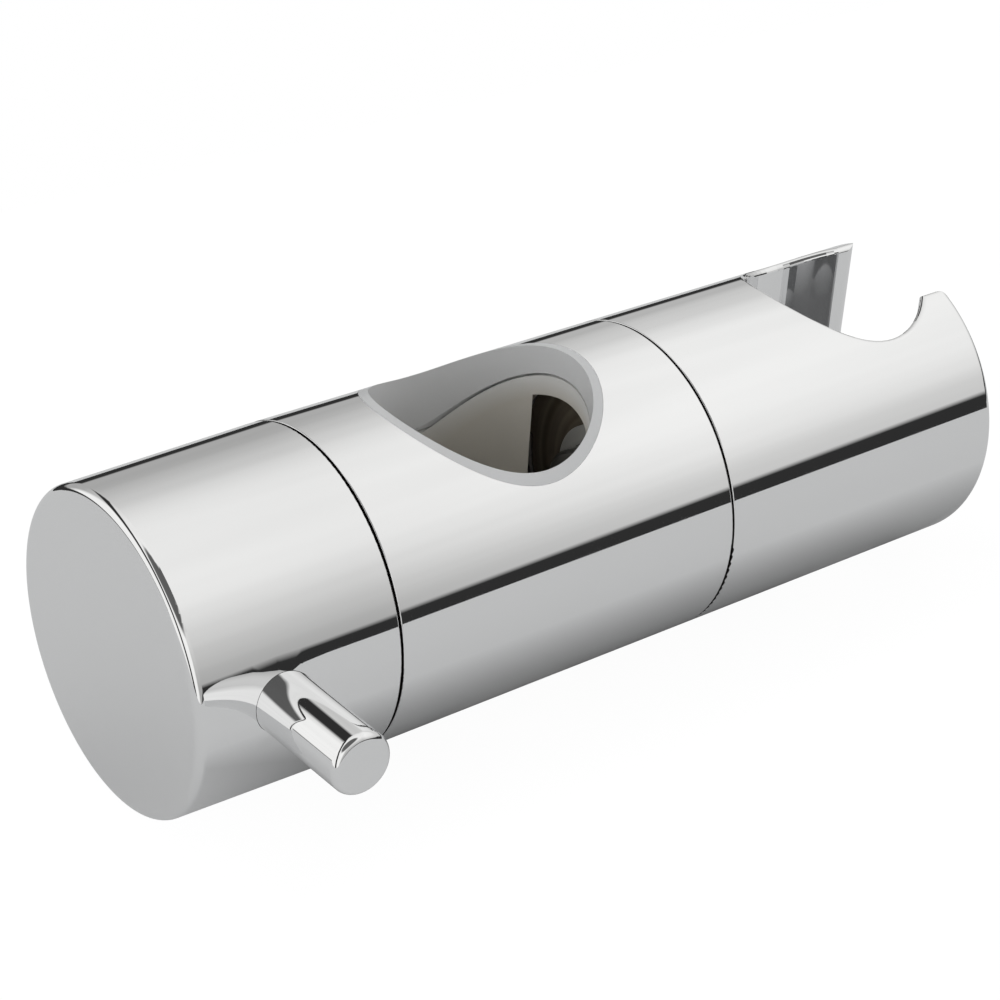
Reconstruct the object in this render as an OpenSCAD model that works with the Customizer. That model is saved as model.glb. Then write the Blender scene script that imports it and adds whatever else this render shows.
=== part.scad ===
// Slide bracket that clamps on a shower riser rail and holds a hand shower.
// X runs along the round bracket: lever knob at -X, handset holder at +X.
// The rail passes through along Z, and the origin is the centre of its bore.

/* [Rail passage] */
// Diameter of the riser rail
rail_d = 25; // [20:0.1:32]
// Radial clearance between the rail and the bracket
rail_clear = 0.1; // [0.05:0.01:0.3]
// Wall of the translucent collars
collar_wall = 1.1; // [0.9:0.05:1.2]
// How far the arched underside of a collar lies outside the rail bore
collar_arch = 0.8; // [0.6:0.1:1]
// Height of that arch's centre above the axis
collar_foot_z = 2.3; // [1.5:0.1:2.4]
// Lowest point of a collar's side skirts
collar_skirt_z = 6.5; // [6:0.1:8]

/* [Clamp] */
// Travel of the clamp core from free to tight
clamp_travel = 0.4; // [0.3:0.1:1]
// Turn of the knob from free to tight, degrees
lever_turn = 90; // [60:5:100]
// Wall of the core beside the rail bore
core_side_t = 2.9; // [2.7:0.1:5]
// Wall of the core behind the rail bore, on the knob side
core_back_t = 4; // [3.6:0.1:6]
// Wall of the core in front of the rail bore, on the holder side
core_front_t = 3.9; // [3.5:0.1:6]
// Wall of the core's rim around its end recess
core_rim_t = 2.6; // [2.2:0.1:3.2]
// Half the width of the window where the bore breaks into the end recess
core_window_half = 5; // [4:0.1:6]
// Gap between the core's rim and the bulkhead, for the spring
spring_space = 3; // [2.5:0.1:3.5]
// Diameter of the spring wire
spring_wire_d = 0.8; // [0.6:0.1:0.9]
// Turns of the spring
spring_turns = 2; // [1.5:0.25:2.5]

/* [Body] */
// Wall of the middle section
body_wall = 3.2; // [2.8:0.1:4.5]
// Thickness of the bulkhead that carries the swivel
bulkhead_t = 3.5; // [3:0.1:4.5]
// Gap between two sections that turn on each other
seam_gap = 0.3; // [0.2:0.05:0.5]
// Rounding of the section edges at the seams
seam_edge_r = 0.12; // [0.1:0.02:0.5]

/* [Knob] */
// Length of the knob
knob_len = 24.5; // [23:0.5:30]
// How much the radius falls from the knob's rim to its face
knob_draft = 0.4; // [0:0.05:0.6]
// Rounding of the knob's face edge
knob_edge_r = 1; // [0.4:0.1:1.4]
// Wall of the knob
knob_wall = 2.4; // [2:0.1:2.8]
// Thickness of the knob's face
knob_face_t = 3; // [2.5:0.1:4]
// Room between the knob's hub and the wall of the body's mouth
hub_room = 5.5; // [5.3:0.1:6.1]
// Radius of the hub's journal in the end plate
journal_r = 8.4; // [8.2:0.1:9]

/* [Lever] */
// Diameter of the lever pin
lever_d = 7; // [5:0.1:8]
// Reach of the lever pin from the axis
lever_reach = 32.9; // [28:0.1:40]
// Distance of the lever pin from the knob's face
lever_inset = 10.2; // [9:0.1:13]
// Angle of the lever above the horizontal at rest, degrees
lever_rest = 4; // [-10:1:10]
// Rounding of the lever's end
lever_edge_r = 0.8; // [0.3:0.1:1.5]
// Radius of the lever's screwed shank
shank_r = 2; // [1.5:0.1:2.5]

/* [End plate] */
// Thickness of the end plate
plate_t = 3; // [2.5:0.1:3.4]
// Depth of the plate's inner face inside the body's mouth
plate_depth = 4.1; // [4:0.1:4.6]
// Gap between the plate and the clamp core, for the hub's end and its clip
plate_gap = 2.3; // [2.2:0.1:4]
// Thickness of both retaining clips
clip_t = 0.8; // [0.6:0.1:0.9]
// Radius of the pin that stops the knob
stop_pin_r = 1.25; // [1:0.05:1.5]
// Gap between the stop pin and the knob's hub
stop_gap = 0.55; // [0.4:0.05:1]
// Place of the stop pin round the axis, degrees
stop_angle = 100; // [0:5:355]

/* [Lead screw] */
// Radius of the lead stud
stud_r = 4; // [3.5:0.1:4.5]
// How far the stud ends inside the nut
stud_setback = 1.3; // [1:0.1:3]
// Distance of the nut from the hub's end
nut_setback = 4.4; // [3:0.1:6]
// Outside radius of the drive nut
nut_r = 6.5; // [6.2:0.1:6.7]
// Length of the drive nut
nut_len = 12; // [10:0.5:13]
// Radius of the stud's flange
stud_flange_r = 6; // [5.5:0.1:6.4]

/* [Handset holder] */
// Length of the handset holder
holder_len = 42.3; // [38:0.1:50]
// Radius of the handset socket
socket_r = 10.7; // [9.5:0.1:11.2]
// Distance of the socket's axis from the free end
socket_inset = 11.7; // [11.5:0.1:13]
// Half the width of the hose slot
slot_half = 7.2; // [6:0.1:8]
// Rounding of the socket's rims
socket_rim_r = 0.6; // [0.4:0.05:1]
// Rounding of the slot's mouth
slot_mouth_r = 2.4; // [0.5:0.1:3]
// Rounding of the free end
holder_end_r = 0.8; // [0.3:0.1:1]
// Wall around the hollow inside the holder
holder_wall = 2.8; // [2.4:0.1:3.4]
// Wall between that hollow and the socket
holder_web = 4.3; // [3:0.1:8]

/* [Swivel] */
// Radius of the pivot screw
pivot_r = 3; // [2.5:0.1:3.2]
// Radius of the pivot screw's head
pivot_head_r = 5.2; // [4.8:0.1:5.6]
// Height of that head
pivot_head_h = 2.8; // [2.4:0.1:2.9]
// Radius of the white bush's flange
bush_flange_r = 7.4; // [6.8:0.1:8]
// Thickness of that flange
bush_flange_t = 1.2; // [1:0.1:1.4]
// Radius of the bush's neck in the bulkhead
bush_neck_r = 5; // [4.6:0.1:5.4]
// Outside radius of the brass insert
insert_r = 5.3; // [5:0.1:5.6]
// Length of the brass insert
insert_len = 10; // [8:0.5:12]
// Radius of the boss around the insert
boss_r = 9.5; // [9.2:0.1:10]
// Middle radius of the friction ring
ring_r = 7.5; // [7.3:0.1:7.7]
// Section diameter of the friction ring
ring_d = 1.8; // [1.4:0.1:2]

/* [Clearances] */
// Gap of a running fit, such as the knob's journal
run_clear = 0.08; // [0.02:0.01:0.1]
// Gap between pieces that are pressed or screwed together
seat_clear = 0.03; // [0.02:0.01:0.08]
// Gap between pieces that move past each other freely
free_clear = 0.3; // [0.2:0.05:0.4]

/* [Hidden] */
$fn = 96;
eps = 0.5;

// The rail sets the bore, the bore the core, and the core the chrome tube around it
rail_bore_r = rail_d / 2 + rail_clear;
collar_r = rail_bore_r + collar_wall;
collar_hole_r = collar_r + seat_clear;
collar_foot_r = rail_bore_r + collar_arch;

core_r = rail_bore_r + core_side_t;
core_x0 = -rail_bore_r - core_back_t;
core_x1 = rail_bore_r + core_front_t;
core_edge_r = 0.4;
recess_r = core_r - core_rim_t;
recess_x = sqrt(pow(rail_bore_r, 2) - pow(core_window_half, 2));
key_half = 1.5;
key_h = 1.2;

bore_r = core_r + free_clear;
tube_r = bore_r + body_wall;
mouth_step = 0.5;
mouth_r = bore_r + mouth_step;
plate_x1 = core_x0 - plate_gap;
plate_x0 = plate_x1 - plate_t;
body_x0 = plate_x1 - plate_depth;
bulkhead_x = core_x1 + spring_space;
body_x1 = bulkhead_x + bulkhead_t;

clip_groove_depth = 0.6;
plate_clip_bar = 2.2;
plate_clip_opening = 6;
plate_clip_turn = -70;
hub_clip_bar = 2.6;
hub_clip_opening = 9;
hub_clip_turn = 20;
hub_groove_depth = 0.7;

knob_x1 = body_x0 - seam_gap;
knob_x0 = knob_x1 - knob_len;
knob_face_r = tube_r - knob_draft;
hub_r = mouth_r - hub_room;
washer_t = 0.8;
washer_play = 0.1;
hub_shoulder_x = plate_x0 - washer_t - 2 * washer_play;
stud_proud = 0.3;
hub_x1 = core_x0 - stud_proud - free_clear;
lever_x = knob_x0 + lever_inset;
lever_seat = 2.2;
lever_boss_r = lever_d / 2 + 1.1;
shank_bite = 1.6;
shank_depth = hub_r - shank_bite;
stop_rib_t = 2;
stop_rib_reach = 5;
stop_pin_reach = 4;
stop_pin_edge_r = 0.2;
rib_bite = 0.5;
stop_circle_r = hub_r + stop_gap + stop_pin_r;
stop_half = asin((stop_pin_r + stop_rib_t / 2 + free_clear / 2) / stop_circle_r);

nut_x1 = hub_x1 - nut_setback;
nut_x0 = nut_x1 - nut_len;
stud_x0 = nut_x0 + stud_setback;
stud_room = 2;
stud_sink = 0.9;
spigot_r = stud_r - 0.5;
spigot_end = 0.6;
cross_pin_r = 0.6;
cross_pin_half = stud_flange_r + 2;
cross_pin_x = (core_x0 + stud_sink - rail_bore_r - spigot_end) / 2;

holder_x0 = body_x1 + seam_gap;
holder_x1 = holder_x0 + holder_len;
socket_x = holder_x1 - socket_inset;
hollow_r = tube_r - holder_wall;
hollow_x1 = socket_x - socket_r - holder_web;
rim_facets = 72;
rim_steps = 8;

bush_x0 = bulkhead_x - bush_flange_t;
wave_t = 0.5;
head_x1 = bush_x0 - wave_t - 2 * washer_play;
head_x0 = head_x1 - pivot_head_h;
head_edge_r = 0.5;
hex_r = 2.3;
hex_depth = 1.6;
insert_sink = 1;
insert_x0 = holder_x0 + insert_sink;
screw_room = 1;
ring_squeeze = 0.05;

CHROME = [0.86, 0.87, 0.88];
CLEAR = [0.82, 0.84, 0.86, 0.6];
WHITE = [0.93, 0.93, 0.91];
GREY = [0.55, 0.56, 0.58];
STEEL = [0.7, 0.71, 0.72];
BRASS = [0.8, 0.65, 0.35];
RUBBER = [0.15, 0.15, 0.15];

// A rod along X between two places
module x_rod(x0, x1, r) {
    translate([x0, 0, 0]) rotate([0, 90, 0]) cylinder(h = x1 - x0, r = r);
}

// A rod along X with both end edges rounded by true arcs
module x_round_rod(x0, x1, r0, r1, e0, e1) {
    x_taper(x0 + e0, x1 - e1, r0, r1);
    x_rod(x0, x1, min(r0, r1) - max(e0, e1));
    for (end = [[x0 + e0, r0, e0], [x1 - e1, r1, e1]])
        translate([end[0], 0, 0]) rotate([0, 90, 0])
            rotate_extrude() translate([end[1] - end[2], 0]) circle(r = end[2], $fn = 32);
}

// A slightly conical rod along X
module x_taper(x0, x1, r0, r1) {
    translate([x0, 0, 0]) rotate([0, 90, 0]) cylinder(h = x1 - x0, r1 = r0, r2 = r1);
}

// A flat ring along X
module x_ring(x0, x1, r_out, r_in) {
    difference() {
        x_rod(x0, x1, r_out);
        x_rod(x0 - eps, x1 + eps, r_in);
    }
}

// A ring with a gap, as a spring clip has
module x_clip(x0, x1, r_out, r_in, gap, turn) {
    difference() {
        x_ring(x0, x1, r_out, r_in);
        rotate([turn, 0, 0]) translate([x0 - eps, 0, -gap / 2])
            cube([x1 - x0 + 2 * eps, r_out + eps, gap]);
    }
}

// Rolling-ball rounding of the rim where an upright hole leaves a tube that lies along X.
// The ball of radius rim touches the hole's wall and the tube; each section of the cutter
// runs along the ball's arc and closes in the open air over the rim.
function ball(a, hole, tube, rim) =
    [(hole + rim) * cos(a), (hole + rim) * sin(a), sqrt(pow(tube - rim, 2) - pow((hole + rim) * sin(a), 2))];
function to_wall(a) = [-cos(a), -sin(a), 0];
function to_skin(c, tube, rim) = [0, c[1], c[2]] / (tube - rim);
function between(u, v, t) = let (w = acos(u * v)) (sin((1 - t) * w) * u + sin(t * w) * v) / sin(w);
function rim_section(a, hole, tube, rim, steps) =
    let (c = ball(a, hole, tube, rim), u = to_wall(a), v = to_skin(c, tube, rim))
    let (arc = [for (i = [0 : steps]) c + rim * between(u, v, i / steps)])
    let (half = acos(u * v) / 2, tip = c + (rim / cos(half) + eps) * between(u, v, 0.5))
    concat([arc[0] + 0.5 * (arc[0] - arc[1])], [for (i = [1 : steps - 1]) arc[i]],
           [arc[steps] + 0.5 * (arc[steps] - arc[steps - 1]), tip]);
module rim_cutter(hole, tube, rim, around, steps) {
    points = [for (i = [0 : around - 1]) each rim_section(360 * i / around, hole, tube, rim, steps)];
    n = steps + 2;
    faces = [for (i = [0 : around - 1], j = [0 : n - 1], k = [0, 1])
        let (a = i * n + j, b = i * n + (j + 1) % n)
        let (c = ((i + 1) % around) * n + j, d = ((i + 1) % around) * n + (j + 1) % n)
        k == 0 ? [a, c, b] : [b, c, d]];
    polyhedron(points = points, faces = faces);
}

// Middle section: tube, bulkhead, rail hole, mouth for the end plate, key rib
module body_shell() {
    color(CHROME) difference() {
        union() {
            difference() {
                x_round_rod(body_x0, body_x1, tube_r, tube_r, seam_edge_r, seam_edge_r);
                x_rod(body_x0 - eps, bulkhead_x, bore_r);
            }
            translate([-rail_bore_r, bore_r - key_h, -key_half])
                cube([2 * rail_bore_r, key_h + body_wall / 2, 2 * key_half]);
        }
        x_rod(body_x0 - eps, plate_x1, mouth_r);
        x_rod(plate_x0 - clip_t - seat_clear, plate_x0, mouth_r + clip_groove_depth);
        cylinder(h = 2 * tube_r + 2 * eps, r = collar_hole_r, center = true);
        x_rod(bulkhead_x - eps, body_x1 + eps, bush_neck_r + seat_clear);
    }
}

// One collar: a tube cut flush with the chrome outside and arched underneath
module rail_collar() {
    color(CLEAR) difference() {
        intersection() {
            translate([0, 0, collar_skirt_z]) cylinder(h = tube_r, r = collar_r);
            x_rod(-tube_r, tube_r, tube_r);
        }
        cylinder(h = 2 * tube_r, r = rail_bore_r);
        translate([0, 0, collar_foot_z]) x_rod(-tube_r, tube_r, collar_foot_r);
    }
}
module rail_collar_top() { rail_collar(); }
module rail_collar_bottom() { mirror([0, 0, 1]) rail_collar(); }

// Plate in the body's mouth that carries the knob's journal
module end_plate() {
    color(GREY) difference() {
        x_rod(plate_x0, plate_x1, mouth_r - seat_clear);
        x_rod(plate_x0 - eps, plate_x1 + eps, journal_r + run_clear);
        rotate([stop_angle, 0, 0]) translate([0, stop_circle_r, 0])
            x_rod(plate_x0 - eps, plate_x1 + eps, stop_pin_r + seat_clear);
    }
}

// Clip that holds the end plate in the mouth
module plate_clip() {
    outer_r = mouth_r + clip_groove_depth - seat_clear;
    color(STEEL) x_clip(plate_x0 - clip_t, plate_x0 - seat_clear,
                        outer_r, outer_r - plate_clip_bar, plate_clip_opening, plate_clip_turn);
}

// Pin that stands out of the end plate and stops the knob at both ends of its turn
module stop_pin() {
    color(STEEL) rotate([stop_angle, 0, 0]) translate([0, stop_circle_r, 0])
        x_round_rod(plate_x0 - stop_pin_reach, plate_x1, stop_pin_r, stop_pin_r, stop_pin_edge_r, stop_pin_edge_r);
}

// White bush in the bulkhead, with the flange that shows through the rail hole
module pivot_bush() {
    color(WHITE) difference() {
        union() {
            x_rod(bush_x0, bulkhead_x - seat_clear, bush_flange_r);
            x_rod(bush_x0, body_x1 - 0.2, bush_neck_r);
        }
        x_rod(bush_x0 - eps, body_x1 + eps, pivot_r + run_clear);
    }
}

// Wire coil between the core's rim and the bulkhead
module return_spring() {
    wire_r = spring_wire_d / 2;
    mean_r = recess_r + core_rim_t / 2;
    x0 = core_x1 + wire_r + washer_play;
    x1 = bulkhead_x - wire_r - washer_play;
    rings = 24 * spring_turns;
    sides = 8;
    points = [for (i = [0 : rings], j = [0 : sides - 1])
        let (a = 360 * spring_turns * i / rings, b = 360 * j / sides, r = mean_r + wire_r * cos(b))
        [x0 + (x1 - x0) * i / rings + wire_r * sin(b), r * cos(a), r * sin(a)]];
    walls = [for (i = [0 : rings - 1], j = [0 : sides - 1], k = [0, 1])
        let (a = i * sides + j, b = i * sides + (j + 1) % sides)
        k == 0 ? [a, b, a + sides] : [b, b + sides, a + sides]];
    caps = [[for (j = [0 : sides - 1]) sides - 1 - j], [for (j = [0 : sides - 1]) rings * sides + j]];
    color(STEEL) polyhedron(points = points, faces = concat(walls, caps));
}

// Places a child on the lever's line, with Z pointing outward along the lever
module on_lever() {
    translate([lever_x, 0, 0]) rotate([90 - lever_rest, 0, 0]) children();
}

// Knob: a cup with hub, journal, lever boss and two stop ribs
module knob_shell() {
    inner_r = knob_face_r - knob_wall;
    color(CHROME) difference() {
        union() {
            difference() {
                x_round_rod(knob_x0, knob_x1, knob_face_r, tube_r, knob_edge_r, seam_edge_r);
                x_rod(knob_x0 + knob_face_t, knob_x1 + eps, inner_r);
            }
            x_rod(knob_x0 + knob_face_t / 2, hub_shoulder_x, hub_r);
            x_rod(knob_x0 + knob_face_t / 2, hub_x1, journal_r);
            on_lever() cylinder(h = inner_r + knob_wall / 2, r = lever_boss_r);
            for (end = [stop_half, -lever_turn - stop_half])
                rotate([stop_angle + end, 0, 0])
                    translate([plate_x0 - stop_rib_reach, hub_r - rib_bite, -stop_rib_t / 2])
                        cube([knob_x1 - plate_x0 + stop_rib_reach - rib_bite, inner_r - hub_r + 3 * rib_bite, stop_rib_t]);
        }
        x_rod(nut_x0 - seat_clear, hub_x1 + eps, nut_r + seat_clear);
        x_rod(stud_x0 - stud_room, hub_x1 + eps, stud_r + free_clear);
        x_ring(plate_x1 + washer_play, plate_x1 + washer_play + clip_t, hub_r, journal_r - hub_groove_depth);
        on_lever() translate([0, 0, tube_r - lever_seat]) cylinder(h = lever_seat + 1, r = lever_d / 2 + seat_clear);
        on_lever() translate([0, 0, shank_depth - seat_clear]) cylinder(h = tube_r, r = shank_r + seat_clear);
    }
}

// Lever pin with its screwed shank
module lever_pin() {
    r = lever_d / 2;
    color(CHROME) on_lever() {
        translate([0, 0, tube_r - lever_seat + seat_clear])
            cylinder(h = lever_reach - tube_r + lever_seat - seat_clear - lever_edge_r, r = r);
        translate([0, 0, lever_reach - 2 * lever_edge_r]) cylinder(h = 2 * lever_edge_r, r = r - lever_edge_r);
        translate([0, 0, lever_reach - lever_edge_r])
            rotate_extrude() translate([r - lever_edge_r, 0]) circle(r = lever_edge_r, $fn = 32);
        translate([0, 0, shank_depth]) cylinder(h = tube_r - shank_depth, r = shank_r);
    }
}

// Brass nut in the hub
module drive_nut() {
    color(BRASS) difference() {
        x_rod(nut_x0, nut_x1, nut_r);
        x_rod(nut_x0 - eps, nut_x1 + eps, stud_r + run_clear);
    }
}

// Washer between the hub's shoulder and the end plate
module thrust_washer() {
    color(WHITE) x_ring(hub_shoulder_x + washer_play, plate_x0 - washer_play, hub_r, journal_r + seat_clear);
}

// Clip on the journal behind the end plate
module hub_clip() {
    inner_r = journal_r - hub_groove_depth + seat_clear;
    color(STEEL) x_clip(plate_x1 + washer_play + seat_clear, plate_x1 + washer_play + clip_t - seat_clear,
                        inner_r + hub_clip_bar, inner_r, hub_clip_opening, hub_clip_turn);
}

// Clamp core: a white block with the rail bore, an end recess that the bore breaks into,
// clear room for the collars' skirts and a groove for the body's key
module clamp_core() {
    skirt_r = collar_r + free_clear;
    color(WHITE) difference() {
        x_round_rod(core_x0, core_x1, core_r, core_r, core_edge_r, core_edge_r);
        cylinder(h = 2 * tube_r, r = rail_bore_r, center = true);
        x_rod(recess_x, core_x1 + eps, recess_r);
        for (side = [0, 1]) mirror([0, 0, side]) difference() {
            translate([0, 0, collar_skirt_z - free_clear]) {
                for (x = [-clamp_travel, 0]) translate([x, 0, 0]) cylinder(h = tube_r, r = skirt_r);
                translate([-clamp_travel, -skirt_r, 0]) cube([clamp_travel, 2 * skirt_r, tube_r]);
            }
            translate([0, 0, collar_foot_z]) x_rod(-tube_r, tube_r, collar_foot_r - free_clear);
        }
        translate([core_x0 - eps, bore_r - key_h - free_clear, -key_half - free_clear])
            cube([core_x1 - core_x0 + 2 * eps, tube_r, 2 * (key_half + free_clear)]);
        x_rod(core_x0 - eps, core_x0 + stud_sink, stud_flange_r + seat_clear);
        x_rod(core_x0, -rail_bore_r - spigot_end, spigot_r + seat_clear);
        translate([cross_pin_x, 0, -cross_pin_half - seat_clear])
            cylinder(h = core_r + cross_pin_half + eps, r = cross_pin_r + seat_clear, $fn = 24);
    }
}

// Lead stud: threaded rod, flange and spigot
module lead_stud() {
    color(STEEL) difference() {
        union() {
            x_rod(stud_x0, core_x0 + stud_sink - seat_clear, stud_r);
            x_rod(core_x0 - stud_proud, core_x0 + stud_sink - seat_clear, stud_flange_r);
            x_rod(core_x0 - stud_proud, -rail_bore_r - spigot_end - seat_clear, spigot_r);
        }
        translate([cross_pin_x, 0, 0])
            cylinder(h = 2 * stud_flange_r, r = cross_pin_r + seat_clear, center = true, $fn = 24);
    }
}

// Pin that locks the stud in the core
module stud_cross_pin() {
    color(STEEL) translate([cross_pin_x, 0, -cross_pin_half])
        cylinder(h = 2 * cross_pin_half, r = cross_pin_r, $fn = 24);
}

// Outline of socket and slot seen from above, with the slot's mouth rounded
module socket_outline() {
    circle(r = socket_r);
    translate([0, -slot_half]) square([socket_inset + eps, 2 * slot_half]);
    for (side = [-1, 1]) difference() {
        translate([socket_inset - slot_mouth_r, side > 0 ? slot_half - eps : -slot_half - slot_mouth_r])
            square([slot_mouth_r + eps, slot_mouth_r + eps]);
        translate([socket_inset - slot_mouth_r, side * (slot_half + slot_mouth_r)])
            circle(r = slot_mouth_r, $fn = 48);
    }
}

// Straight cutter that rounds the top edges of the slot's two faces
module slot_rim_cutter() {
    ball_y = slot_half + socket_rim_r;
    ball_z = sqrt(pow(tube_r - socket_rim_r, 2) - pow(ball_y, 2));
    slope = atan2(ball_y, ball_z);
    for (side = [0, 1]) mirror([0, side, 0]) rotate([90, 0, 90]) difference() {
        linear_extrude(height = socket_inset + eps) polygon([
            [slot_half - eps, ball_z],
            [ball_y, ball_z],
            [ball_y + (socket_rim_r + eps) * sin(slope), ball_z + (socket_rim_r + eps) * cos(slope)],
            [slot_half - eps, ball_z + 3 * socket_rim_r]]);
        translate([ball_y, ball_z, -eps]) cylinder(h = socket_inset + 3 * eps, r = socket_rim_r, $fn = 48);
    }
}

// Handset holder: the cup-like end with an upright socket that opens to the end
module holder_shell() {
    color(CHROME) difference() {
        x_round_rod(holder_x0, holder_x1, tube_r, tube_r, seam_edge_r, holder_end_r);
        translate([socket_x, 0, -tube_r - eps]) linear_extrude(height = 2 * (tube_r + eps)) socket_outline();
        for (side = [0, 1]) mirror([0, 0, side]) translate([socket_x, 0, 0]) {
            rim_cutter(socket_r, tube_r, socket_rim_r, rim_facets, rim_steps);
            slot_rim_cutter();
        }
        x_ring(holder_x0 - eps, hollow_x1, hollow_r, boss_r);
        x_rod(holder_x0 - eps, insert_x0 + insert_len + seat_clear, insert_r + seat_clear);
        x_rod(insert_x0, insert_x0 + insert_len + screw_room, pivot_r + free_clear);
        translate([holder_x0, 0, 0]) rotate([0, 90, 0]) ring_groove();
    }
}

// Groove for the friction ring
module ring_groove() {
    depth = ring_d - seam_gap + ring_squeeze;
    difference() {
        translate([0, 0, -eps]) cylinder(h = depth + eps, r = ring_r + ring_d / 2 + seat_clear);
        translate([0, 0, -2 * eps]) cylinder(h = depth + 3 * eps, r = ring_r - ring_d / 2 - seat_clear);
    }
}

// Brass insert for the pivot screw
module holder_insert() {
    color(BRASS) x_ring(insert_x0, insert_x0 + insert_len, insert_r, pivot_r + seat_clear);
}

// Pivot screw with a socket head
module pivot_screw() {
    color(STEEL) difference() {
        union() {
            x_round_rod(head_x0, head_x1, pivot_head_r, pivot_head_r, head_edge_r, washer_play);
            x_rod(head_x1 - head_edge_r, insert_x0 + insert_len, pivot_r);
        }
        translate([head_x0 - eps, 0, 0]) rotate([0, 90, 0]) cylinder(h = hex_depth + eps, r = hex_r, $fn = 6);
    }
}

// Spring washer under the screw's head
module wave_washer() {
    color(STEEL) x_ring(head_x1 + washer_play, bush_x0 - washer_play, pivot_head_r + washer_play, pivot_r + seat_clear);
}

// Rubber ring that gives the swivel its drag
module friction_ring() {
    color(RUBBER) translate([holder_x0 + ring_d / 2 - seam_gap + ring_squeeze, 0, 0]) rotate([0, 90, 0])
        rotate_extrude() translate([ring_r, 0]) circle(r = ring_d / 2, $fn = 32);
}

body_shell();
rail_collar_top();
rail_collar_bottom();
end_plate();
plate_clip();
stop_pin();
pivot_bush();
return_spring();
knob_shell();
lever_pin();
drive_nut();
thrust_washer();
hub_clip();
clamp_core();
lead_stud();
stud_cross_pin();
holder_shell();
holder_insert();
pivot_screw();
wave_washer();
friction_ring();
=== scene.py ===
"""Looks of a chrome slide bracket for a shower riser rail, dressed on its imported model.

X runs along the bracket, the rail stands along Z, and the lever points to -Y.
"""

import bpy
from mathutils import Matrix, Vector


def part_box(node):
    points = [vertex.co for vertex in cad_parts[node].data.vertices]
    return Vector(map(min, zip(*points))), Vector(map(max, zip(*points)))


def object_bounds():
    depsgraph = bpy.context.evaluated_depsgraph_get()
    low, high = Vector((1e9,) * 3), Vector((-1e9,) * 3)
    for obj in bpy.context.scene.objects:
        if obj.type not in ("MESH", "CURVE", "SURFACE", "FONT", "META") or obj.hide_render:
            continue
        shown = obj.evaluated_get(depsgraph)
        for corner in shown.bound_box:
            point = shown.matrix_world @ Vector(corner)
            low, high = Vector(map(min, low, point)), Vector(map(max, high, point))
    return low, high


MM = 0.001

# Camera: a long lens, in front of the knob end and above it
CAMERA_PLACE = (-0.1534, -0.19577, 0.15465)
CAMERA_RIGHT = (0.79919, -0.59855, 0.05506)
CAMERA_UP = (0.27336, 0.44351, 0.85356)
CAMERA_LENS = 91.54
CAMERA_CLIP_START = 0.01

# Light tent. Its places are given as parts of a direction of length 1: X to the right, Y behind, Z up.
# Brightness by height, where the tent is seen towards the knob and towards the body
TENT_KNOB = [
    (0, 0.41), (0.15, 0.43), (0.37, 0.57), (0.56, 0.69), (0.72, 0.83), (0.83, 0.91), (0.9, 0.93), (1, 0.94),
]
TENT_BODY = [
    (0, 0.5), (0.13, 0.62), (0.33, 0.7), (0.5, 0.88), (0.63, 0.95), (0.73, 0.98), (0.79, 1.0), (1, 1.0),
]
TENT_KNOB_X = 0.45
TENT_BODY_X = 0.6
TENT_TILT = 0.12
TENT_TINT = (1.0, 0.998, 0.985)
# Left of here the tent is at its brightest
TENT_LEFT_X = -0.4
TENT_LEFT_END_X = -0.2
# Soft folds in the cloth
FOLD_SCALE = (3.0, 3.0, 9.0)
FOLD_DARK = 0.97
FOLD_BRIGHT = 1.02
# Height of the tent's lower edge: in front, how it climbs to the right, and behind
TENT_EDGE_FRONT = 0.016
TENT_EDGE_FRONT_X = 0.473
TENT_EDGE_CLIMB = 0.37
TENT_EDGE_BEHIND = -0.07
TENT_EDGE_TURN_Y = 0.3
TENT_EDGE_BELOW = 0.02
TENT_EDGE_ABOVE = 0.024
# A dark flag across the light behind the knob: its middle direction, and the cosines between which it lies
FLAG_AXIS = (-0.565, 0.64, -0.521)
FLAG_FROM = 0.03
FLAG_TO = 0.27
FLAG_SOFTNESS = 0.02
FLAG_OUTER_SOFTNESS = 0.05
# The tent's opening on the camera's side: its middle direction, the cosine of its half width, its level
OPENING_AXIS = (-0.25, -0.4, 0.88)
OPENING_FROM = 0.87
OPENING_LEVEL = 0.1
OPENING_SOFTNESS = 0.03
# Flag and opening end here on the right
DARK_END_X = 0.2
DARK_END_SOFT_X = 0.3
# How much of the white background metal sees, beside the tent and the table
WORLD_WHITE_IN_METAL = 0.03
FLOOR_WHITE_IN_METAL = 0.2

# Table: its corners, as X and Y in millimetres
FLOOR_CORNERS = [(-300, -43), (600, -439), (600, 140), (-300, 140)]
FLOOR_GAP = 0.4 * MM
FLOOR_ALBEDO = (0.745, 0.755, 0.765)
FLOOR_WHITE_SHARE = 0.88
# A little over white, because the table's own shaded colour is mixed in
FLOOR_WHITE_STRENGTH = 1.1
# A painted shadow on the table where the object touches it, darkest under the object
CONTACT_FROM = 8 * MM
CONTACT_TO = 34 * MM
CONTACT_SHADOW_SHARE = 0.3

# Depths in the shells and the core at which a surface changes
SKIN_DEPTH = 0.35 * MM
END_FACE_DEPTH = 0.7 * MM
END_FACE_WIDTH = 4 * MM
END_FACE_FULL_WIDTH = 2.5 * MM
# Width of the core's white rim; inward of it the rail bore is painted in shade
CORE_RIM = 3 * MM
CORE_RIM_FULL = CORE_RIM / 4

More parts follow.
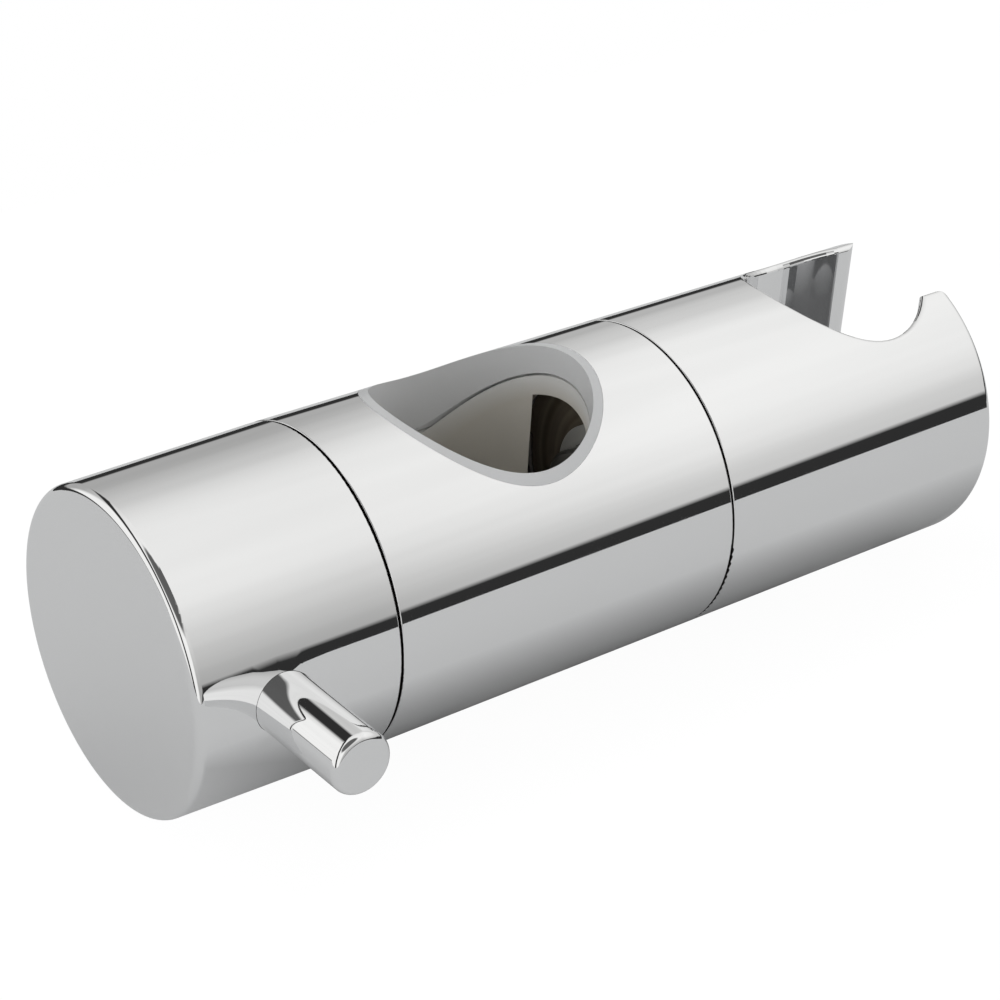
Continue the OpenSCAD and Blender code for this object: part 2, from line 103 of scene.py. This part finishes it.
# Colours, where there are two as the ends between which a surface varies
WHITE = (1.0, 1.0, 1.0)
BLACK = (0.0, 0.0, 0.0)
CHROME = (0.87, 0.872, 0.876)
INSIDE_BROWN = ((0.25, 0.205, 0.155), (0.42, 0.36, 0.29))
# Nearly black on the shells' end faces: painted shade in the seams between the shells
END_FACE_PAINTED_SHADE = ((0.02, 0.017, 0.015), (0.035, 0.03, 0.026))
COLLAR_MILK = ((0.93, 0.945, 0.965), (0.96, 0.97, 0.985))
CORE_WHITE = ((0.9, 0.9, 0.89), (0.84, 0.84, 0.82))
# Brownish grey deep in the core's rail bore: painted shade
CORE_PAINTED_SHADE = ((0.76, 0.73, 0.67), (0.68, 0.65, 0.59))
ACETAL_WHITE = (0.88, 0.88, 0.86)
NYLON_GREY = (0.3, 0.31, 0.33)
RUBBER_BLACK = (0.02, 0.02, 0.02)
ZINC_STEEL = (0.62, 0.63, 0.64)
SPRING_STEEL = (0.45, 0.45, 0.46)
BRASS = (0.75, 0.56, 0.25)


def wire(tree, source, target):
    tree.links.new(source, target)


def node(tree, kind, **settings):
    """A new node with plain attributes and, by socket name or index, input values or links."""
    made = tree.nodes.new(kind)
    inputs = settings.pop("inputs", {})
    for key, value in settings.items():
        setattr(made, key, value)
    for key, value in inputs.items():
        if isinstance(value, bpy.types.NodeSocket):
            wire(tree, value, made.inputs[key])
        else:
            made.inputs[key].default_value = value
    return made


def maths(tree, operation, *values):
    return node(tree, "ShaderNodeMath", operation=operation, inputs=dict(enumerate(values))).outputs[0]


def chain(tree, operation, first, *others):
    """One operation of two values, carried through any number of them."""
    for other in others:
        first = maths(tree, operation, first, other)
    return first


def noise(tree, place, scale, detail=2.0, roughness=0.5):
    inputs = {"Vector": place, "Scale": scale, "Detail": detail, "Roughness": roughness}
    return node(tree, "ShaderNodeTexNoise", inputs=inputs).outputs["Fac"]


def spread(tree, value, low, high, start=0.0, end=1.0):
    """Maps value from start..end to low..high, held at both ends."""
    inputs = {0: value, 1: start, 2: end, 3: low, 4: high}
    return node(tree, "ShaderNodeMapRange", inputs=inputs).outputs[0]


def rises(tree, value, start, end):
    """0 up to start, 1 from end on."""
    return spread(tree, value, 0.0, 1.0, start, end)


def falls(tree, value, start, end):
    """1 up to start, 0 from end on."""
    return spread(tree, value, 1.0, 0.0, start, end)


def blend_colour(tree, share, a, b):
    made = node(tree, "ShaderNodeMix", data_type="RGBA", inputs={0: share})
    for socket, value in ((made.inputs[6], a), (made.inputs[7], b)):
        if isinstance(value, bpy.types.NodeSocket):
            wire(tree, value, socket)
        else:
            socket.default_value = (*value, 1.0)
    return made.outputs[2]


def blend_shader(tree, share, a, b):
    return node(tree, "ShaderNodeMixShader", inputs={0: share, 1: a.outputs[0], 2: b.outputs[0]}).outputs[0]


def parts_of(tree, vector):
    """The X, Y and Z of a vector."""
    return node(tree, "ShaderNodeSeparateXYZ", inputs={0: vector}).outputs


def along(tree, direction, axis):
    """How far a direction leans along an axis."""
    made = node(tree, "ShaderNodeVectorMath", operation="DOT_PRODUCT", inputs={0: direction, 1: axis})
    return made.outputs["Value"]


def dimmed(colour, share):
    return tuple(share * c for c in colour)


def new_material(name, **numbers):
    """A material with one Principled shader, its uniform numbers set, and the place of each point."""
    material = bpy.data.materials.new(name)
    material.use_nodes = True
    tree = material.node_tree
    shader = tree.nodes["Principled BSDF"]
    for key, value in numbers.items():
        shader.inputs[key.replace("_", " ").title().replace("Ior", "IOR")].default_value = value
    place = tree.nodes.new("ShaderNodeTexCoord").outputs["Object"]
    return material, tree, shader, place


def set_surface(tree, shader, colour, roughness):
    wire(tree, colour, shader.inputs["Base Color"])
    wire(tree, roughness, shader.inputs["Roughness"])


def add_bump(tree, shader, height, strength, distance):
    inputs = {"Height": height, "Strength": strength, "Distance": distance}
    wire(tree, node(tree, "ShaderNodeBump", inputs=inputs).outputs[0], shader.inputs["Normal"])


def distance_from_axis(tree, place):
    """Distance of each point from the bracket's long axis."""
    _, y, z = parts_of(tree, place)
    squares = maths(tree, "ADD", maths(tree, "MULTIPLY", y, y), maths(tree, "MULTIPLY", z, z))
    return maths(tree, "SQRT", squares)


def plate(name, seed):
    """Bright plate: faint haze in patches and the very slight waviness of a polished moulding."""
    material, tree, shader, place = new_material(name, metallic=1.0)
    shift = {0: place, 1: (seed, seed / 2, 0)}
    shifted = node(tree, "ShaderNodeVectorMath", operation="ADD", inputs=shift).outputs[0]
    patches = noise(tree, shifted, scale=45.0, detail=3.0)
    haze = noise(tree, shifted, scale=160.0, detail=4.0, roughness=0.6)
    colour = blend_colour(tree, patches, CHROME, dimmed(CHROME, 0.985))
    set_surface(tree, shader, colour, spread(tree, haze, low=0.015, high=0.05, start=0.3, end=0.75))
    add_bump(tree, shader, noise(tree, shifted, scale=28.0, detail=1.0), strength=0.05, distance=0.2 * MM)
    return material, tree, shader, place


def chrome(name, seed):
    return plate(name, seed)[0]


def bare_plastic(tree, place, skin_radius):
    """The shell's own plastic: brown with faint rings deep inside, and painted nearly black on the end
    faces as shade in the seams.
    """
    radius = distance_from_axis(tree, place)
    grain = noise(tree, place, scale=900.0, detail=3.0)
    across = node(tree, "ShaderNodeCombineXYZ", inputs={0: radius}).outputs[0]
    rings = rises(tree, noise(tree, across, scale=900.0, detail=1.0), 0.35, 0.65)
    deep = blend_colour(tree, rings, *INSIDE_BROWN)
    # Painted shade: the end faces nearly black, so the seams between the shells look dark
    end_face_shade = blend_colour(tree, grain, *END_FACE_PAINTED_SHADE)
    outwards = rises(tree, radius, skin_radius - END_FACE_WIDTH, skin_radius - END_FACE_FULL_WIDTH)
    shader = node(tree, "ShaderNodeBsdfPrincipled", inputs={"Specular IOR Level": 0.4})
    colour = blend_colour(tree, outwards, deep, end_face_shade)
    set_surface(tree, shader, colour, spread(tree, grain, low=0.35, high=0.5))
    return shader


def chrome_over_dark(name, seed, skin_radius, from_x, to_x):
    """Chrome outside, and the bare dark plastic under the skin between two stations on the long axis."""
    material, tree, plated, place = plate(name, seed)
    bare = bare_plastic(tree, place, skin_radius)
    x = parts_of(tree, place)["X"]
    under = maths(tree, "LESS_THAN", distance_from_axis(tree, place), skin_radius - SKIN_DEPTH)
    after = maths(tree, "GREATER_THAN", x, from_x)
    before = maths(tree, "LESS_THAN", x, to_x)
    inside = chain(tree, "MULTIPLY", under, after, before)
    wire(tree, blend_shader(tree, inside, plated, bare), tree.nodes["Material Output"].inputs["Surface"])
    return material


def translucent_plastic(name):
    """Milky clear plastic of the rail collars."""
    material, tree, shader, place = new_material(name, ior=1.49, transmission_weight=0.15)
    cloud = noise(tree, place, scale=120.0, detail=3.0)
    colour = blend_colour(tree, cloud, *COLLAR_MILK)
    set_surface(tree, shader, colour, spread(tree, cloud, low=0.28, high=0.4))
    add_bump(tree, shader, noise(tree, place, scale=700.0), strength=0.08, distance=0.05 * MM)
    return material


def add_moulded_grain(tree, shader, place, colour, roughness, grain_depth):
    """The fine grain of moulded plastic, under a colour."""
    shine = noise(tree, place, scale=500.0, detail=3.0)
    set_surface(tree, shader, colour, spread(tree, shine, low=roughness, high=roughness + 0.12))
    add_bump(tree, shader, noise(tree, place, scale=1500.0), strength=0.15, distance=grain_depth)


def moulded_plastic(name, colour, roughness, grain_depth):
    """Plain moulded plastic with a fine grain and a faint cloudiness."""
    material, tree, shader, place = new_material(name)
    cloud = noise(tree, place, scale=90.0, detail=3.0)
    clouded = blend_colour(tree, cloud, colour, dimmed(colour, 0.93))
    add_moulded_grain(tree, shader, place, clouded, roughness, grain_depth)
    return material


def core_plastic(name, outer_radius):
    """White plastic, with painted shade deep in the rail bore: a little brownish grey away from its outer
    surface.
    """
    material, tree, shader, place = new_material(name)
    cloud = noise(tree, place, scale=90.0, detail=3.0)
    white = blend_colour(tree, cloud, *CORE_WHITE)
    # Painted shade: brownish grey deep in the rail bore
    deep = blend_colour(tree, cloud, *CORE_PAINTED_SHADE)
    radius = distance_from_axis(tree, place)
    outwards = rises(tree, radius, outer_radius - CORE_RIM, outer_radius - CORE_RIM_FULL)
    colour = blend_colour(tree, outwards, deep, white)
    add_moulded_grain(tree, shader, place, colour, roughness=0.34, grain_depth=0.02 * MM)
    return material


def turned_metal(name, colour, roughness):
    """Bare metal with fine turning lines round the long axis."""
    material, tree, shader, place = new_material(name, metallic=1.0)
    inputs = {0: parts_of(tree, place)["X"], 1: distance_from_axis(tree, place)}
    profile = node(tree, "ShaderNodeCombineXYZ", inputs=inputs).outputs[0]
    lines = noise(tree, profile, scale=6000.0)
    lined = blend_colour(tree, lines, colour, dimmed(colour, 0.85))
    set_surface(tree, shader, lined, spread(tree, lines, low=roughness, high=roughness + 0.15))
    add_bump(tree, shader, lines, strength=0.2, distance=0.01 * MM)
    return material


def dress(nodes, material):
    for name in nodes:
        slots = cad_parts[name].data.materials
        if len(slots) == 0:
            slots.append(material)
        for i in range(len(slots)):
            slots[i] = material


def white_seen(tree, share_in_metal):
    """Share of the white background a ray meets: all for the camera and in clear plastic, less in metal."""
    path = node(tree, "ShaderNodeLightPath").outputs
    in_metal = maths(tree, "MULTIPLY", path["Is Glossy Ray"], share_in_metal)
    return chain(tree, "MAXIMUM", path["Is Camera Ray"], path["Is Transmission Ray"], in_metal)


def tent_ramp(tree, height, levels):
    ramp = node(tree, "ShaderNodeValToRGB", inputs={0: height})
    stops = ramp.color_ramp.elements
    while len(stops) < len(levels):
        stops.new(1.0)
    for stop, (position, level) in zip(stops, levels):
        stop.position = position
        stop.color = (*dimmed(TENT_TINT, level), 1.0)
    return ramp.outputs[0]


def tent_colour(tree, direction):
    """The tent's cloth, brightest overhead and on the far left."""
    x, y, z = parts_of(tree, direction)
    height = maths(tree, "SUBTRACT", z, maths(tree, "MULTIPLY", y, TENT_TILT))
    towards_body = rises(tree, x, TENT_KNOB_X, TENT_BODY_X)
    cloth = blend_colour(
        tree, towards_body, tent_ramp(tree, height, TENT_KNOB), tent_ramp(tree, height, TENT_BODY)
    )
    return blend_colour(tree, falls(tree, x, TENT_LEFT_X, TENT_LEFT_END_X), cloth, TENT_TINT)


def tent_folds(tree, direction):
    inputs = {"Vector": direction, "Scale": FOLD_SCALE}
    stretched = node(tree, "ShaderNodeMapping", inputs=inputs).outputs[0]
    return spread(tree, noise(tree, stretched, scale=1.0, detail=1.0), FOLD_DARK, FOLD_BRIGHT, 0.3, 0.7)


def above_edge(tree, direction):
    """0 under the tent's lower edge, where the room is dark, and 1 above it."""
    x, y, z = parts_of(tree, direction)
    front_at_centre = TENT_EDGE_FRONT - TENT_EDGE_CLIMB * TENT_EDGE_FRONT_X
    front = maths(tree, "MULTIPLY_ADD", x, TENT_EDGE_CLIMB, front_at_centre)
    edge = spread(tree, y, front, TENT_EDGE_BEHIND, -TENT_EDGE_TURN_Y, TENT_EDGE_TURN_Y)
    return rises(tree, maths(tree, "SUBTRACT", z, edge), -TENT_EDGE_BELOW, TENT_EDGE_ABOVE)


def off_flag(tree, direction):
    """0 on the flag, 1 past its two edges and on the right."""
    lean = along(tree, direction, FLAG_AXIS)
    past = falls(tree, lean, FLAG_FROM - FLAG_SOFTNESS, FLAG_FROM + FLAG_SOFTNESS)
    before = rises(tree, lean, FLAG_TO - FLAG_SOFTNESS, FLAG_TO + FLAG_OUTER_SOFTNESS)
    beside = rises(tree, parts_of(tree, direction)["X"], DARK_END_X, DARK_END_SOFT_X)
    return chain(tree, "MAXIMUM", past, before, beside)


def off_opening(tree, direction):
    """The opening's level within it, 1 outside it and on the right."""
    lean = along(tree, direction, OPENING_AXIS)
    start, end = OPENING_FROM - OPENING_SOFTNESS, OPENING_FROM + OPENING_SOFTNESS
    cloth = spread(tree, lean, 1.0, OPENING_LEVEL, start, end)
    beside = rises(tree, parts_of(tree, direction)["X"], DARK_END_X, DARK_END_SOFT_X)
    return maths(tree, "MAXIMUM", cloth, beside)


def build_world():
    """White behind the object for the camera; for everything else a light tent, brightest overhead."""
    world = bpy.data.worlds.new("studio")
    bpy.context.scene.world = world
    world.use_nodes = True
    tree = world.node_tree
    tree.nodes.clear()
    direction = node(tree, "ShaderNodeTexCoord").outputs["Generated"]
    covers = [cover(tree, direction) for cover in (above_edge, off_flag, off_opening, tent_folds)]
    light = {"Color": tent_colour(tree, direction), "Strength": chain(tree, "MULTIPLY", *covers)}
    tent = node(tree, "ShaderNodeBackground", inputs=light)
    white = node(tree, "ShaderNodeBackground", inputs={"Color": (*WHITE, 1.0)})
    mixed = blend_shader(tree, white_seen(tree, WORLD_WHITE_IN_METAL), tent, white)
    wire(tree, mixed, node(tree, "ShaderNodeOutputWorld").inputs["Surface"])


def painted_shadow_share(tree, place):
    """Painted shadow on the table, its brightness by place: darker under the object, from behind the knob
    to the free end.
    """
    x, y, _ = parts_of(tree, place)
    past_knob = maths(tree, "SUBTRACT", cad_low.x + CONTACT_TO, x)
    past_holder = maths(tree, "SUBTRACT", x, cad_high.x - CONTACT_FROM)
    away = chain(tree, "MAXIMUM", maths(tree, "ABSOLUTE", y), past_knob, past_holder)
    return spread(tree, away, CONTACT_SHADOW_SHARE, 1.0, CONTACT_FROM, CONTACT_TO)


def floor_material():
    material = bpy.data.materials.new("pale_floor")
    material.use_nodes = True
    tree = material.node_tree
    tree.nodes.clear()
    # Painted shadow: the table's colour darkens towards black under the object, and the white that metal
    # sees in it dims with it
    share = painted_shadow_share(tree, node(tree, "ShaderNodeTexCoord").outputs["Object"])
    colour = blend_colour(tree, share, BLACK, FLOOR_ALBEDO)
    pale = node(tree, "ShaderNodeBsdfDiffuse", inputs={"Color": colour})
    glow = node(tree, "ShaderNodeEmission", inputs={"Strength": FLOOR_WHITE_STRENGTH})
    in_metal = maths(tree, "MULTIPLY", share, FLOOR_WHITE_IN_METAL / FLOOR_WHITE_SHARE)
    seen = maths(tree, "MULTIPLY", white_seen(tree, in_metal), FLOOR_WHITE_SHARE)
    mixed = blend_shader(tree, seen, pale, glow)
    wire(tree, mixed, node(tree, "ShaderNodeOutputMaterial").inputs["Surface"])
    return material


def build_floor(height):
    """A pale table under the object; the camera sees it white, with the object's faint shadow."""
    mesh = bpy.data.meshes.new("floor")
    mesh.from_pydata([(x * MM, y * MM, height) for x, y in FLOOR_CORNERS], [], [(0, 1, 2, 3)])
    mesh.materials.append(floor_material())
    floor = bpy.data.objects.new("floor", mesh)
    bpy.context.scene.collection.objects.link(floor)


def build_camera():
    data = bpy.data.cameras.new("camera")
    data.lens = CAMERA_LENS
    data.clip_start = CAMERA_CLIP_START
    camera = bpy.data.objects.new("camera", data)
    bpy.context.scene.collection.objects.link(camera)
    right, up = Vector(CAMERA_RIGHT).normalized(), Vector(CAMERA_UP)
    back = right.cross(up).normalized()
    up = back.cross(right)
    turn = Matrix((right, up, back)).transposed().to_4x4()
    camera.matrix_world = Matrix.Translation(CAMERA_PLACE) @ turn
    bpy.context.scene.camera = camera


def dress_shells():
    """Chrome on all three shells; inside the body and in both seams the bare plastic shows."""
    skin = body_high.z
    knob_from = body_low.x - END_FACE_DEPTH
    holder_to = body_high.x + END_FACE_DEPTH
    dress(["body_shell"], chrome_over_dark("chrome_body", 0.0, skin, body_low.x - MM, body_high.x + MM))
    dress(["knob_shell"], chrome_over_dark("chrome_knob", 1.3, skin, knob_from, body_high.x))
    dress(["holder_shell"], chrome_over_dark("chrome_holder", 2.6, skin, body_low.x, holder_to))
    dress(["lever_pin"], chrome("chrome_lever", 3.9))


def dress_plastics():
    dress(["rail_collar_top", "rail_collar_bottom"], translucent_plastic("collar_plastic"))
    dress(["clamp_core"], core_plastic("core_acetal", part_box("clamp_core")[1].z))
    dress(["pivot_bush", "thrust_washer"], moulded_plastic("white_acetal", ACETAL_WHITE, 0.32, 0.02 * MM))
    dress(["end_plate"], moulded_plastic("grey_nylon", NYLON_GREY, 0.4, 0.03 * MM))
    dress(["friction_ring"], moulded_plastic("black_rubber", RUBBER_BLACK, 0.6, 0.03 * MM))


def dress_metals():
    pins = ["lead_stud", "pivot_screw", "stud_cross_pin", "stop_pin"]
    springs = ["plate_clip", "hub_clip", "wave_washer", "return_spring"]
    dress(pins, turned_metal("zinc_steel", ZINC_STEEL, 0.25))
    dress(springs, turned_metal("spring_steel", SPRING_STEEL, 0.3))
    dress(["drive_nut", "holder_insert"], turned_metal("turned_brass", BRASS, 0.22))


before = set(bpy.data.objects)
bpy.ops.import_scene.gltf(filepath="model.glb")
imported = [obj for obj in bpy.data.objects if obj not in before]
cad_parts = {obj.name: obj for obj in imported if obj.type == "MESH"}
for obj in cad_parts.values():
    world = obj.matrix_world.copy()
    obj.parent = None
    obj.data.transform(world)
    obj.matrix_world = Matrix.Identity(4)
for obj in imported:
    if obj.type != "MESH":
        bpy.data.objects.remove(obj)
cad_low, cad_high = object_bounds()
body_low, body_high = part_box("body_shell")

build_camera()
build_world()
build_floor(body_low.z - FLOOR_GAP)

dress_shells()
dress_plastics()
dress_metals()

bpy.context.scene.view_settings.view_transform = "Standard"
